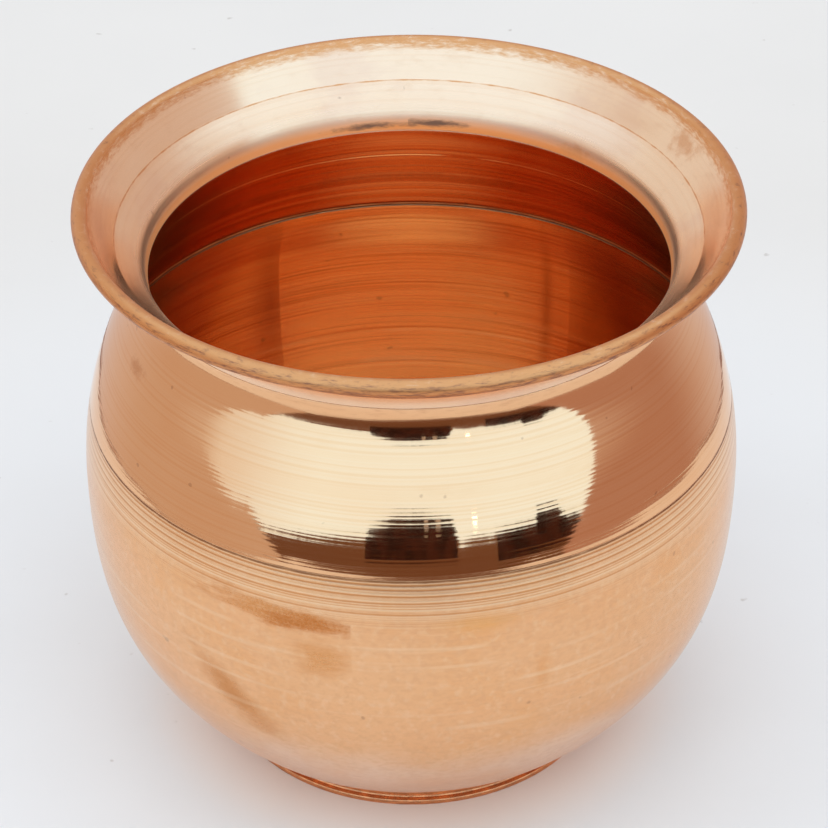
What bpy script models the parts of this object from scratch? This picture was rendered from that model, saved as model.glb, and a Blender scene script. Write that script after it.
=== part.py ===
# Copper lota: a spun water pot with a flared mouth, a round belly and a low foot ring.
# Every piece is turned about +Z. The origin is on the axis, on the floor that the foot stands on.

import math

import bmesh
import bpy
import numpy as np

MM = 0.001

# Overall sizes
RIM_RADIUS = 57.0 * MM  # outermost line of the rolled lip
OVERALL_HEIGHT = 106.0 * MM  # floor to the top of the lip
BELLY_RADIUS = 57.4 * MM  # outside, at the widest place
BELLY_HEIGHT = 53.0 * MM  # floor to the widest place
THROAT_RADIUS = 44.6 * MM  # bore, at the mouth's lower edge

# Stock and fits
SHEET = 0.7 * MM  # wall of the three shells
WIRE_RADIUS = 0.45 * MM  # core of the rolled lip
CLEARANCE = 0.3 * MM  # between pieces that touch
BRAZE_LEG = 1.1 * MM  # each of the two sides of a brazed fillet

# Mouth: depths are measured down from the top of the lip
THROAT_DEPTH = 13.7 * MM  # to the mouth's lower edge, which stands free inside the neck
CREASE_DEPTH = 6.1 * MM  # to the crease where the flare turns up again
CREASE_REACH = 5.4 * MM  # crease beyond the throat, on the inner face
THROAT_LEAN = math.radians(24.0)  # from upright, of the inner face at the throat
CREASE_LEAN = math.radians(47.0)  # the same, as that face comes up to the crease

# A pull says how far a curve keeps its direction
THROAT_PULL = 3.1 * MM
CREASE_PULL = 3.1 * MM

# Neck, shoulder and belly, outside
NECK_STEP = 2.45 * MM  # narrowest place of the neck beyond the throat
NECK_RISE = 1.3 * MM  # that place above the throat
NECK_BEND = 7.0 * MM  # radius of the hollow of the neck
SHOULDER_LEAN = math.radians(5.0)  # from upright, where the shoulder runs into that hollow
NECK_PULL = 7.25 * MM
SHOULDER_PULL = 22.0 * MM
BELLY_PULL = 22.0 * MM
HEEL_PULL = 17.5 * MM
HEEL_RADIUS = 41.1 * MM  # outside, where the wall turns under
HEEL_HEIGHT = 8.8 * MM
HEEL_RISE = math.radians(46.6)  # from level, at the heel

# Bottom, on its under face
BOTTOM_RADIUS = 28.0 * MM  # edge of the part that is pushed up
BOTTOM_HEIGHT = 4.6 * MM  # floor to that edge
BOTTOM_KICK = 1.0 * MM  # rise from that edge to the centre
BOTTOM_PULL = 7.0 * MM
TUCK_PULL = 3.5 * MM

# Seams
EDGE_RISE = 1.0 * MM  # shoulder's upper edge above the narrowest place of the neck
SEAM_DROP = 27.9 * MM  # that edge down to the belly seam
BELLY_LAP = 4.5 * MM  # bowl's edge inside the shoulder, above the belly seam
JOGGLE = 1.6 * MM  # height over which the bowl's edge is set in

# Foot
FOOT_RADIUS = 34.4 * MM  # outermost line of the toe
FOOT_WALL = 1.0 * MM
TOE_REACH = 1.0 * MM  # toe beyond the foot's wall
TOE_THICK = 1.1 * MM
TOE_BEVEL = 0.35 * MM

# Facets
SIDES = 56
BELLY_STEPS = 9
SHOULDER_STEPS = 9
HEEL_STEPS = 4
NECK_STEPS = 3
BEND_STEPS = 6
CURL_STEPS = 8
KICK_STEPS = 3
WIRE_SIDES = 6
SHARP_ANGLE = math.radians(40.0)
WELD = 0.001 * MM
LEAST_STEP = 0.6 * MM  # from the end of a stretch to the next point

# Finishes
COPPER = (0.80, 0.42, 0.27)
BRAZING_METAL = (0.78, 0.58, 0.30)
POLISHED = 0.18
SATIN = 0.32
RAW = 0.45

UP = math.pi / 2
INWARD = math.pi


# An outline is a list of points, each a radius and a height.
def point(radius, height):
    return np.array([radius, height])


def toward(angle):
    return np.array([math.cos(angle), math.sin(angle)])


def arc(centre, radius, start, end, steps):
    angles = np.linspace(start, end, steps + 1)
    return np.array([centre + radius * toward(angle) for angle in angles])


def bezier(start, start_handle, end_handle, end, steps):
    t = np.linspace(0.0, 1.0, steps + 1)[:, None]
    opening = (1 - t) ** 3 * start + 3 * t * (1 - t) ** 2 * start_handle
    closing = 3 * t**2 * (1 - t) * end_handle + t**3 * end
    return opening + closing


# Lines joined end to end, each leaving out the point that it shares with the one before.
def chain(first, *others):
    return np.vstack([first, *(line[1:] for line in others)])


# A rising line moved inwards by a depth, or outwards by a negative one, with mitred corners.
def inset(line, depth):
    steps = np.diff(line, axis=0)
    steps /= np.linalg.norm(steps, axis=1)[:, None]
    before = np.vstack([steps[:1], steps])
    after = np.vstack([steps, steps[-1:]])
    middle = before + after
    inwards = np.column_stack([-middle[:, 1], middle[:, 0]])
    mitre = 2.0 / (middle**2).sum(axis=1)
    return line + depth * inwards * mitre[:, None]


def radius_at(line, height):
    return float(np.interp(height, line[:, 1], line[:, 0]))


def height_at(line, radius):
    return float(np.interp(radius, line[:, 0], line[:, 1]))


# The stretch of a rising line between two heights, without points that crowd its ends.
def between(line, low, high):
    start = point(radius_at(line, low), low)
    end = point(radius_at(line, high), high)
    inside = line[(line[:, 1] > low) & (line[:, 1] < high)]
    reach = np.minimum(np.linalg.norm(inside - start, axis=1), np.linalg.norm(inside - end, axis=1))
    return np.vstack([start, inside[reach > LEAST_STEP], end])


# Angle of the line from a place that touches a circle lying on its right.
def touching(place, centre, radius):
    away = centre - place
    return math.atan2(away[1], away[0]) + math.asin(radius / np.linalg.norm(away))


# Heights of the mouth and the seams
throat_height = OVERALL_HEIGHT - THROAT_DEPTH
crease_height = OVERALL_HEIGHT - CREASE_DEPTH
neck_height = throat_height + NECK_RISE
edge_height = neck_height + EDGE_RISE
seam_height = edge_height - SEAM_DROP
lap_height = seam_height + BELLY_LAP

# Depths of the faces under the outside of the wall, where one sheet laps another
under_lap = SHEET + CLEARANCE
inside_lap = SHEET + CLEARANCE + SHEET

# The mouth's inner face bends from the throat to the crease, and its flare from there touches the lip's curl
throat = point(THROAT_RADIUS, throat_height)
crease = point(THROAT_RADIUS + CREASE_REACH, crease_height)
curl_radius = WIRE_RADIUS + CLEARANCE + SHEET
curl_centre = point(RIM_RADIUS - curl_radius, OVERALL_HEIGHT - curl_radius)


# Outside of the pot, rising from the pushed-up bottom to the shoulder's upper edge.
def pot_wall():
    bottom = point(BOTTOM_RADIUS, BOTTOM_HEIGHT)
    heel = point(HEEL_RADIUS, HEEL_HEIGHT)
    widest = point(BELLY_RADIUS, BELLY_HEIGHT)
    outwards, rise, upwards = toward(0.0), toward(HEEL_RISE), toward(UP)
    hollow = point(THROAT_RADIUS + NECK_STEP + NECK_BEND, neck_height)
    neck_end = INWARD - math.asin(EDGE_RISE / NECK_BEND)
    neck = arc(hollow, NECK_BEND, INWARD + SHOULDER_LEAN, neck_end, NECK_STEPS)
    into_neck = neck[0] - NECK_PULL * toward(UP + SHOULDER_LEAN)
    return chain(
        bezier(bottom, bottom + BOTTOM_PULL * outwards, heel - TUCK_PULL * rise, heel, HEEL_STEPS),
        bezier(heel, heel + HEEL_PULL * rise, widest - BELLY_PULL * upwards, widest, BELLY_STEPS),
        bezier(widest, widest + SHOULDER_PULL * upwards, into_neck, neck[0], SHOULDER_STEPS),
        neck,
    )


# Inner face of the mouth from the throat up to the crease.
def mouth_bend():
    out_of_throat = throat + THROAT_PULL * toward(UP - THROAT_LEAN)
    into_crease = crease - CREASE_PULL * toward(UP - CREASE_LEAN)
    return bezier(throat, out_of_throat, into_crease, crease, BEND_STEPS)


wall = pot_wall()
bend = mouth_bend()
mouth_seat = inset(bend, -under_lap)  # the shoulder's upper edge is bevelled to lie along this


# Height at which a line that starts on the left of another has come over to it.
def crossing(line, other, low, high):
    heights = np.linspace(low, high, 200)
    gaps = [radius_at(line, height) - radius_at(other, height) for height in heights]
    return float(np.interp(0.0, gaps, heights))


# Each of the next functions gives the outline of one piece.
def mouth_flare():
    curl_start = touching(crease, curl_centre, curl_radius) + UP
    curl_gap = math.acos((curl_radius - SHEET - CLEARANCE) / curl_radius)
    curl_end = curl_start + curl_gap - 2 * math.pi
    over = arc(curl_centre, curl_radius, curl_start, curl_end, CURL_STEPS)
    under = arc(curl_centre, curl_radius - SHEET, curl_end, curl_start, CURL_STEPS)
    inner = np.vstack([bend, over[0]])
    outer = inset(inner, -SHEET)
    return np.vstack([inner, over[1:], under, outer[-2::-1]])


def rim_wire():
    return arc(curl_centre, WIRE_RADIUS, 0.0, 2 * math.pi, WIRE_SIDES)[:-1]


# The lower edge is bevelled to lie along the bowl's joggle, the upper one to lie under the mouth.
def shoulder_shell():
    slant = math.hypot(under_lap, JOGGLE)
    low = seam_height + CLEARANCE * slant / under_lap
    bevel = JOGGLE * SHEET / under_lap
    top = edge_height
    wall_inside = inset(wall, SHEET)
    upper_bevel = crossing(mouth_seat, wall_inside, throat_height, top)
    outside = between(wall, low, top)
    inside = between(wall_inside, low + bevel, upper_bevel)
    return np.vstack([outside, point(radius_at(mouth_seat, top), top), inside[::-1]])


def belly_bowl():
    set_in = seam_height + JOGGLE
    wall_inside = inset(wall, SHEET)
    outside = np.vstack([
        between(wall, BOTTOM_HEIGHT, seam_height),
        between(inset(wall, under_lap), set_in, lap_height),
    ])
    inside = np.vstack([
        between(wall_inside, wall_inside[0, 1], seam_height),
        between(inset(wall, inside_lap), set_in, lap_height),
    ])
    share = np.linspace(0.0, 1.0, KICK_STEPS + 1)[:-1]
    under = np.column_stack([BOTTOM_RADIUS * share, BOTTOM_HEIGHT + BOTTOM_KICK * (1 - share**2)])
    floor = under + point(0.0, SHEET)
    return np.vstack([under, outside, inside[::-1], floor[::-1]])


def foot_ring():
    outer = FOOT_RADIUS - TOE_REACH
    inner = outer - FOOT_WALL
    seat = inset(wall, -CLEARANCE)
    return np.array([
        (inner, 0.0),
        (FOOT_RADIUS - TOE_BEVEL, 0.0),
        (FOOT_RADIUS, TOE_BEVEL),
        (FOOT_RADIUS, TOE_THICK - TOE_BEVEL),
        (FOOT_RADIUS - TOE_BEVEL, TOE_THICK),
        (outer, TOE_THICK),
        (outer, height_at(seat, outer)),
        (inner, height_at(seat, inner)),
    ])


# A hollow-faced fillet in a corner, with a leg along each of its two sides.
def fillet(corner, first_side, second_side):
    first = corner + BRAZE_LEG * toward(first_side)
    second = corner + BRAZE_LEG * toward(second_side)
    hollow = (corner + first + second) / 3
    return np.array([corner, first, hollow, second])


# Angle of a line at a height, going up it or down it by one leg.
def along_wall(line, height, leg):
    return math.atan2(leg, radius_at(line, height + leg) - radius_at(line, height))


def neck_braze():
    shoulder_inside = inset(wall, under_lap)
    height = crossing(mouth_seat, shoulder_inside, throat_height - BRAZE_LEG, edge_height)
    corner = point(radius_at(shoulder_inside, height), height)
    under_mouth = along_wall(mouth_seat, height, -BRAZE_LEG)
    return fillet(corner, along_wall(shoulder_inside, height, -BRAZE_LEG), under_mouth)


def belly_braze():
    shoulder_inside = inset(wall, under_lap)
    height = lap_height + CLEARANCE
    corner = point(radius_at(shoulder_inside, height), height)
    return fillet(corner, along_wall(shoulder_inside, height, BRAZE_LEG), INWARD)


def foot_braze():
    seat = inset(wall, -CLEARANCE)
    radius = FOOT_RADIUS - TOE_REACH - FOOT_WALL - CLEARANCE
    corner = point(radius, height_at(seat, radius))
    inner_end = height_at(seat, radius - BRAZE_LEG)
    return fillet(corner, math.atan2(inner_end - corner[1], -BRAZE_LEG), -UP)


def metal(name, colour, roughness):
    made = bpy.data.materials.new(name)
    made.use_nodes = True
    shader = made.node_tree.nodes["Principled BSDF"]
    shader.inputs["Base Color"].default_value = (*colour, 1.0)
    shader.inputs["Roughness"].default_value = roughness
    shader.inputs["Metallic"].default_value = 1.0
    return made


# Turns an outline about the axis: a ring, or a closed pot where it starts and ends on the axis.
def turned(name, outline, colour, roughness, parent):
    shape = bmesh.new()
    corners = [shape.verts.new((radius, 0.0, height)) for radius, height in outline]
    pairs = list(zip(corners, corners[1:]))
    if outline[0][0] > 0.0:
        pairs.append((corners[-1], corners[0]))
    edges = [shape.edges.new(pair) for pair in pairs]
    bmesh.ops.spin(shape, geom=corners + edges, axis=(0, 0, 1), angle=2 * math.pi, steps=SIDES)
    bmesh.ops.remove_doubles(shape, verts=shape.verts, dist=WELD)
    bmesh.ops.recalc_face_normals(shape, faces=shape.faces)
    mesh = bpy.data.meshes.new(name)
    shape.to_mesh(mesh)
    shape.free()
    mesh.shade_smooth()
    mesh.set_sharp_from_angle(angle=SHARP_ANGLE)
    mesh.materials.append(metal(name, colour, roughness))
    made = bpy.data.objects.new(name, mesh)
    made.parent = parent
    bpy.context.collection.objects.link(made)


def main():
    for old in list(bpy.data.objects):
        bpy.data.objects.remove(old, do_unlink=True)
    lota = bpy.data.objects.new("lota", None)
    bpy.context.collection.objects.link(lota)
    turned("mouth_flare", mouth_flare(), COPPER, POLISHED, lota)
    turned("rim_wire", rim_wire(), COPPER, RAW, lota)
    turned("shoulder_shell", shoulder_shell(), COPPER, POLISHED, lota)
    turned("belly_bowl", belly_bowl(), COPPER, SATIN, lota)
    turned("foot_ring", foot_ring(), COPPER, SATIN, lota)
    turned("neck_braze", neck_braze(), BRAZING_METAL, RAW, lota)
    turned("belly_braze", belly_braze(), BRAZING_METAL, RAW, lota)
    turned("foot_braze", foot_braze(), BRAZING_METAL, RAW, lota)


main()
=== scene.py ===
import math

import bpy
import numpy as np
from mathutils import Matrix, Vector


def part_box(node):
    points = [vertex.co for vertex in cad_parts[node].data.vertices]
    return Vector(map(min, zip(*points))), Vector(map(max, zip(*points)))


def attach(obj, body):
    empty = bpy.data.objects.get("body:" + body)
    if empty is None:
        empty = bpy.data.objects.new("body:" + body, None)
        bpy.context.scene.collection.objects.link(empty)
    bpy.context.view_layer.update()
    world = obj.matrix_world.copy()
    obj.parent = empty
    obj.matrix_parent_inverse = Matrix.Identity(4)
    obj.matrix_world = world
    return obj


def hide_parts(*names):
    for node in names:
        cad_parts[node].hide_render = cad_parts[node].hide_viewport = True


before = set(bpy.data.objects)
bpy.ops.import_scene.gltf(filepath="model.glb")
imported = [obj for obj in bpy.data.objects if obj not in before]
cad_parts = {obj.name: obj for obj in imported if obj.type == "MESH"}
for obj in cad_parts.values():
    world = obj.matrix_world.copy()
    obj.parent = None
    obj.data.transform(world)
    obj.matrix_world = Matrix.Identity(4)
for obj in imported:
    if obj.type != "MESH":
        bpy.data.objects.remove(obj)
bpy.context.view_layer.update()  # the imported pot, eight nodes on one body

scene = bpy.context.scene
mm = 0.001
samePoint = 0.002 * mm
up, inward = math.pi / 2, math.pi
print("frame loaded:", ", ".join(sorted(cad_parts)))


# An outline is an array of points, each a radius and a height.
def toward(angle):
    return np.array([math.cos(angle), math.sin(angle)])


def arcLine(centre, radius, start, end, steps=48):
    angles = np.linspace(start, end, steps + 1)
    return centre + radius * np.column_stack([np.cos(angles), np.sin(angles)])


def bezierLine(start, startHandle, endHandle, end, steps=160):
    t = np.linspace(0.0, 1.0, steps + 1)[:, None]
    opening = (1 - t) ** 3 * start + 3 * t * (1 - t) ** 2 * startHandle
    return opening + 3 * t**2 * (1 - t) * endHandle + t**3 * end


def chain(first, *others):
    return np.vstack([first, *(line[1:] for line in others)])


# A rising line moved inwards by a depth, or outwards by a negative one, with mitred corners
def inset(line, depth):
    steps = np.diff(line, axis=0)
    steps /= np.linalg.norm(steps, axis=1)[:, None]
    middle = np.vstack([steps[:1], steps]) + np.vstack([steps, steps[-1:]])
    inwards = np.column_stack([-middle[:, 1], middle[:, 0]])
    return line + depth * inwards * (2.0 / (middle**2).sum(axis=1))[:, None]


def radiusAt(line, height):
    return float(np.interp(height, line[:, 1], line[:, 0]))


def heightAt(line, radius):
    return float(np.interp(radius, line[:, 0], line[:, 1]))


def between(line, low, high):
    kept = line[(line[:, 1] > low) & (line[:, 1] < high)]
    return np.vstack([(radiusAt(line, low), low), kept, (radiusAt(line, high), high)])


def eased(value, low, high):
    share = np.clip((value - low) / (high - low), 0.0, 1.0)
    return share**2 * (3.0 - 2.0 * share)


# Angle of the line from a place that touches a circle lying on its right
def touching(place, centre, radius):
    away = centre - place
    return math.atan2(away[1], away[0]) + math.asin(radius / np.linalg.norm(away))


def evenly(line, step):
    gone = np.concatenate([[0.0], np.cumsum(np.linalg.norm(np.diff(line, axis=0), axis=1))])
    places = np.linspace(0.0, gone[-1], max(2, round(gone[-1] / step) + 1))
    return np.column_stack([np.interp(places, gone, line[:, axis]) for axis in (0, 1)])


# Corners of an outline cut off by short arcs, so that sheet edges are softly broken
def softened(corners, reach, steps):
    most = 0.45  # share of a side that one corner may take
    made = []
    for before, corner, after in zip(np.roll(corners, 1, axis=0), corners, np.roll(corners, -1, axis=0)):
        first, last = before - corner, after - corner
        cut = min(reach, most * min(np.linalg.norm(first), np.linalg.norm(last)))
        first = corner + first / np.linalg.norm(first) * cut
        last = corner + last / np.linalg.norm(last) * cut
        t = np.linspace(0.0, 1.0, steps + 1)[:, None]
        made.append((1 - t) ** 2 * first + 2 * t * (1 - t) * corner + t**2 * last)
    return np.vstack(made)


# One run of an outline. Finish 1 is polished, 0.5 satin and 0 left as formed, mark is the depth of turning
# lines, which fade out at both ends, and ageAndShade goes from clean at 0 to brown at 1, from end to end:
# tarnish and dirt, and painted shade in the crease and under the flare, and a painted reflection on the lip
def stretch(line, step, finish, mark=0.0, fade=0.0, ageAndShade=(0.0, 0.0)):
    line = evenly(line, step)
    share = np.linspace(0.0, 1.0, len(line))
    ends = np.minimum(share, 1.0 - share) / max(fade, 1e-6)
    marks = mark * np.clip(ends, 0.0, 1.0)
    return np.column_stack([line, np.full(len(line), finish), marks, np.linspace(*ageAndShade, len(line))])


# Stretches end to end, always running the same way round the metal
def outlineOf(*stretches):
    rows = np.vstack(stretches)
    gaps = np.linalg.norm(np.diff(rows[:, :2], axis=0), axis=1)
    rows = rows[np.concatenate([[True], gaps > samePoint])]
    radii, heights = rows[:, 0], rows[:, 1]
    area = (radii * np.roll(heights, -1) - np.roll(radii, -1) * heights).sum()
    return rows if area < 0 else rows[::-1]


# Shape of the pot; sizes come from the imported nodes, the rest says how the wall bends between them
pot = {
    "rimRadius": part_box("mouth_flare")[1].x,
    "height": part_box("mouth_flare")[1].z,
    "bellyRadius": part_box("belly_bowl")[1].x,
    "edgeHeight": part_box("shoulder_shell")[1].z,
    "lapHeight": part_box("belly_bowl")[1].z,
    "footRadius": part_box("foot_ring")[1].x,
    "bellyHeight": 53.0 * mm,
    "throat": (44.6 * mm, 92.3 * mm),
    "throatLean": math.radians(13.0),
    "crease": (50.0 * mm, 99.9 * mm),
    "creaseLean": math.radians(49.0),
    "coveSoft": 2.4 * mm,       # reach of the bend between those two slopes
    "neck": (47.05 * mm, 93.6 * mm),  # narrowest place outside
    "neckBend": 7.0 * mm,
    "curlRadius": 1.45 * mm,
    "sheet": 0.7 * mm,
    "lap": 1.0 * mm,            # outside of the wall to the lapped face under it
    "seamHeight": 66.7 * mm,
    "joggle": 1.6 * mm,
    "lean": math.radians(5.0),  # of the shoulder, where it runs into the hollow of the neck
    "pulls": {"neck": 7.25 * mm, "shoulder": 22.0 * mm, "belly": 22.0 * mm, "heel": 17.5 * mm,
              "bottom": 7.0 * mm, "tuck": 3.5 * mm},
    "heel": (41.1 * mm, 8.8 * mm),
    "heelRise": math.radians(46.6),
    "bottom": (28.0 * mm, 4.6 * mm),
    "kick": 1.0 * mm,
    "gap": 0.04 * mm,           # a closed seam still shows as a hairline
}
sheet, lap, gap = pot["sheet"], pot["lap"], pot["gap"]
throat, crease = np.array(pot["throat"]), np.array(pot["crease"])
curlCentre = np.array([pot["rimRadius"], pot["height"]]) - pot["curlRadius"]


# Part of the hollow of the neck, between two heights; it runs on under the flare
def neckHollow(low, high):
    radius, height = pot["neck"]
    turns = [math.asin((place - height) / pot["neckBend"]) for place in (low, high)]
    centre = np.array([radius + pot["neckBend"], height])
    return arcLine(centre, pot["neckBend"], inward - turns[0], inward - turns[1])


def potWall():
    pulls = pot["pulls"]
    bottom, heel = np.array(pot["bottom"]), np.array(pot["heel"])
    widest = np.array([pot["bellyRadius"], pot["bellyHeight"]])
    rise = toward(pot["heelRise"])
    hollow = neckHollow(pot["neck"][1] - pot["neckBend"] * math.sin(pot["lean"]), pot["edgeHeight"])
    intoNeck = hollow[0] - pulls["neck"] * toward(up + pot["lean"])
    return chain(
        bezierLine(bottom, bottom + (pulls["bottom"], 0.0), heel - pulls["tuck"] * rise, heel),
        bezierLine(heel, heel + pulls["heel"] * rise, widest - (0.0, pulls["belly"]), widest),
        bezierLine(widest, widest + (0.0, pulls["shoulder"]), intoNeck, hollow[0]),
        hollow,
    )


# Inner face of the mouth from the throat up to the crease: two slopes with a soft bend between them
def mouthBend():
    lower, upper = toward(up - pot["throatLean"]), toward(up - pot["creaseLean"])
    reach = np.linalg.solve(np.column_stack([lower, upper]), crease - throat)[0]
    corner = throat + reach * lower
    start, end = corner - pot["coveSoft"] * lower, corner + pot["coveSoft"] * upper
    return chain(bezierLine(throat, throat, start, start, 30), bezierLine(start, corner, corner, end, 60),
                 bezierLine(end, end, crease, crease, 60))


# Height at which a line that starts on the left of another has come over to it
def crossing(line, other, low, high):
    heights = np.linspace(low, high, 400)
    gaps = [radiusAt(line, height) - radiusAt(other, height) for height in heights]
    return float(np.interp(0.0, gaps, heights))


wall = potWall()
bend = mouthBend()
mouthSeat = inset(bend, -(sheet + gap))  # the shoulder's upper edge lies along this
lapFace = inset(wall, lap)
print("wall:", len(wall), "points")


# Small helpers for node trees: makes a node, sets what is a value and links what is a socket
def addNode(tree, kind, inputs=None, **settings):
    made = tree.nodes.new(kind)
    for name, value in settings.items():
        setattr(made, name, value)
    for name, value in (inputs or {}).items():
        if isinstance(value, bpy.types.NodeSocket):
            tree.links.new(value, made.inputs[name])
        else:
            made.inputs[name].default_value = value
    return made


def calc(tree, operation, first, second=0.0):
    return addNode(tree, "ShaderNodeMath", {0: first, 1: second}, operation=operation).outputs[0]


def plus(tree, first, second):
    return calc(tree, "ADD", first, second)


def minus(tree, first, second):
    return calc(tree, "SUBTRACT", first, second)


def times(tree, first, second):
    return calc(tree, "MULTIPLY", first, second)


def ranged(tree, value, low, high, toLow, toHigh, curve="LINEAR"):
    inputs = {"Value": value, "From Min": low, "From Max": high, "To Min": toLow, "To Max": toHigh}
    return addNode(tree, "ShaderNodeMapRange", inputs, interpolation_type=curve).outputs["Result"]


def smooth(tree, value, low, high, toLow=0.0, toHigh=1.0):
    return ranged(tree, value, low, high, toLow, toHigh, "SMOOTHSTEP")


def noise(tree, where, scale, detail, roughness=0.5):
    inputs = {"Vector": where, "Scale": scale, "Detail": detail, "Roughness": roughness}
    return addNode(tree, "ShaderNodeTexNoise", inputs).outputs[0]


# The same along one line only
def lineNoise(tree, where, scale, detail, roughness):
    inputs = {"W": where, "Scale": scale, "Detail": detail, "Roughness": roughness}
    return addNode(tree, "ShaderNodeTexNoise", inputs, noise_dimensions="1D").outputs[0]


def blendColour(tree, share, first, second):
    made = addNode(tree, "ShaderNodeMix", data_type="RGBA")
    for socket, value in zip((made.inputs[0], made.inputs[6], made.inputs[7]), (share, first, second)):
        if isinstance(value, bpy.types.NodeSocket):
            tree.links.new(value, socket)
        else:
            socket.default_value = value if isinstance(value, float) else (*value, 1.0)
    return made.outputs[2]


# What the lathe works with unless a piece's dictionary says otherwise
latheDefaults = {"Sides": 288, "Line Pitch": 1.0 * mm}
seedStep = 7.31  # moves the noise on from one seed to the next


# Noise by height that cuts the turning lines; the copper takes it again to colour them
def turningNoise(tree, height, pitch, shift):
    return lineNoise(tree, plus(tree, calc(tree, "DIVIDE", height, pitch), shift), 1.0, 1.0, 0.4)


# Geometry Nodes lathe: turns the outline about the axis, then cuts fine turning lines into it
def makeLathe():
    tree = bpy.data.node_groups.new("lathe", "GeometryNodeTree")
    face = tree.interface
    face.new_socket("Outline", in_out="INPUT", socket_type="NodeSocketGeometry")
    for name, kind in (("Sides", "Int"), ("Line Pitch", "Float"), ("Wobble", "Float"),
                       ("Wobble Size", "Float"), ("Seed", "Int"), ("Finish", "Material")):
        face.new_socket(name, in_out="INPUT", socket_type="NodeSocket" + kind)
    face.new_socket("Turned", in_out="OUTPUT", socket_type="NodeSocketGeometry")
    given = tree.nodes.new("NodeGroupInput").outputs
    spindle = 1.0 * mm    # radius of the path that the outline is carried along
    weld = 0.0005 * mm
    path = addNode(tree, "GeometryNodeCurvePrimitiveCircle",
                   {"Resolution": given["Sides"], "Radius": spindle})
    path = addNode(tree, "GeometryNodeSetCurveNormal", {"Curve": path.outputs["Curve"]}, mode="Z_UP")
    shifted = addNode(tree, "GeometryNodeTransform",
                      {"Geometry": given["Outline"], "Translation": (-spindle, 0, 0)})
    profile = addNode(tree, "GeometryNodeMeshToCurve", {"Mesh": shifted.outputs[0]})
    turned = addNode(tree, "GeometryNodeCurveToMesh",
                     {"Curve": path.outputs[0], "Profile Curve": profile.outputs[0]})
    welded = addNode(tree, "GeometryNodeMergeByDistance",
                     {"Geometry": turned.outputs[0], "Distance": weld})
    # turning lines run round the axis and only ever cut into the sheet
    position = addNode(tree, "GeometryNodeInputPosition").outputs[0]
    height = addNode(tree, "ShaderNodeSeparateXYZ", {0: position}).outputs["Z"]
    seed = times(tree, given["Seed"], seedStep)
    lines = turningNoise(tree, height, given["Line Pitch"], seed)
    mark = addNode(tree, "GeometryNodeInputNamedAttribute", {"Name": "mark"}, data_type="FLOAT").outputs[0]
    depth = times(tree, smooth(tree, lines, 0.3, 0.7, -1.0, 0.0), mark)
    # a little unevenness from hand work, also inwards only
    uneven = addNode(tree, "ShaderNodeTexNoise", {"W": seed, "Scale": given["Wobble Size"], "Detail": 0.0},
                     noise_dimensions="4D").outputs[0]
    soft = times(tree, minus(tree, uneven, 1.0), given["Wobble"])
    normal = addNode(tree, "GeometryNodeInputNormal").outputs[0]
    push = addNode(tree, "ShaderNodeVectorMath", {0: normal, "Scale": plus(tree, depth, soft)},
                   operation="SCALE")
    cut = addNode(tree, "GeometryNodeSetPosition",
                  {"Geometry": welded.outputs[0], "Offset": push.outputs[0]})
    whole = addNode(tree, "GeometryNodeSetShadeSmooth", {"Geometry": cut.outputs[0]})
    whole = addNode(tree, "GeometryNodeRealizeInstances", {"Geometry": whole.outputs[0]})
    whole = addNode(tree, "GeometryNodeSetMaterial",
                    {"Geometry": whole.outputs[0], "Material": given["Finish"]})
    addNode(tree, "NodeGroupOutput", {"Turned": whole.outputs[0]})
    return tree


lathe = makeLathe()
latheInputs = {item.name: item.identifier for item in lathe.interface.items_tree if item.in_out == "INPUT"}


# Outline to finished piece: the modifier's result is kept as a plain mesh
def turnPiece(name, node, outline, material, turning, closed=True):
    count = len(outline)
    pairs = [(index, index + 1) for index in range(count - 1)]
    if closed:
        pairs.append((count - 1, 0))
    blank = bpy.data.meshes.new(name + "Outline")
    blank.from_pydata([(radius, -height, 0.0) for radius, height in outline[:, :2]], pairs, [])
    for column, label in ((2, "finish"), (3, "mark"), (4, "ageAndShade")):
        blank.attributes.new(label, "FLOAT", "POINT").data.foreach_set("value", outline[:, column])
    work = bpy.data.objects.new(name + "Work", blank)
    scene.collection.objects.link(work)
    modifier = work.modifiers.new("lathe", "NODES")
    modifier.node_group = lathe
    for label, value in {**latheDefaults, **turning, "Finish": material}.items():
        modifier[latheInputs[label]] = value
    graph = bpy.context.evaluated_depsgraph_get()
    mesh = bpy.data.meshes.new_from_object(work.evaluated_get(graph))
    work.modifiers.remove(modifier)
    bpy.data.objects.remove(work)
    mesh.name = name
    # faces point out of the metal: the signed volume says whether they do
    points = np.empty(len(mesh.vertices) * 3)
    mesh.vertices.foreach_get("co", points)
    points = points.reshape(-1, 3)
    mesh.calc_loop_triangles()
    corners = np.empty(len(mesh.loop_triangles) * 3, np.int32)
    mesh.loop_triangles.foreach_get("vertices", corners)
    a, b, c = (points[corners.reshape(-1, 3)[:, index]] for index in range(3))
    if np.einsum("ij,ij->", a, np.cross(b, c)) < 0:
        mesh.flip_normals()
    piece = bpy.data.objects.new(name, mesh)
    scene.collection.objects.link(piece)
    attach(piece, "root")
    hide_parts(node)
    low, high = points[:, 2].min() / mm, points[:, 2].max() / mm
    print(f"{name}: {len(mesh.loop_triangles)} triangles, {low:.2f} to {high:.2f} mm high")


# How worn copper is patterned. Noise is per metre, across and along the turning or one number for both.
wear = {
    "fine": (2600.0, 30.0),
    "lines": (900.0, 12.0),
    "bands": (150.0, 6.0),
    "brushLines": (1700.0, 15.0),
    "cloth": (60.0, 40.0),
    "scratches": (2400.0, 420.0),
    "clouds": 45.0,
    "grain": 900.0,
    "breaks": 70.0,             # in the rings that the tool left
    "rubbed": 2200.0,
    "polish": (0.1, 0.4),       # finish at which raw metal ends and at which polished metal begins
    "core": 0.3,                # share of a ring's or band's width that shows in full
    "lowerSpread": 14.0 * mm,   # unevenness of the lower tone's edge
    "smear": (0.85, 1.2),       # least and most that smears change the roughness
    "ageAndShadePull": 1.35,
    "scratchPull": 1.6,
}
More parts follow.
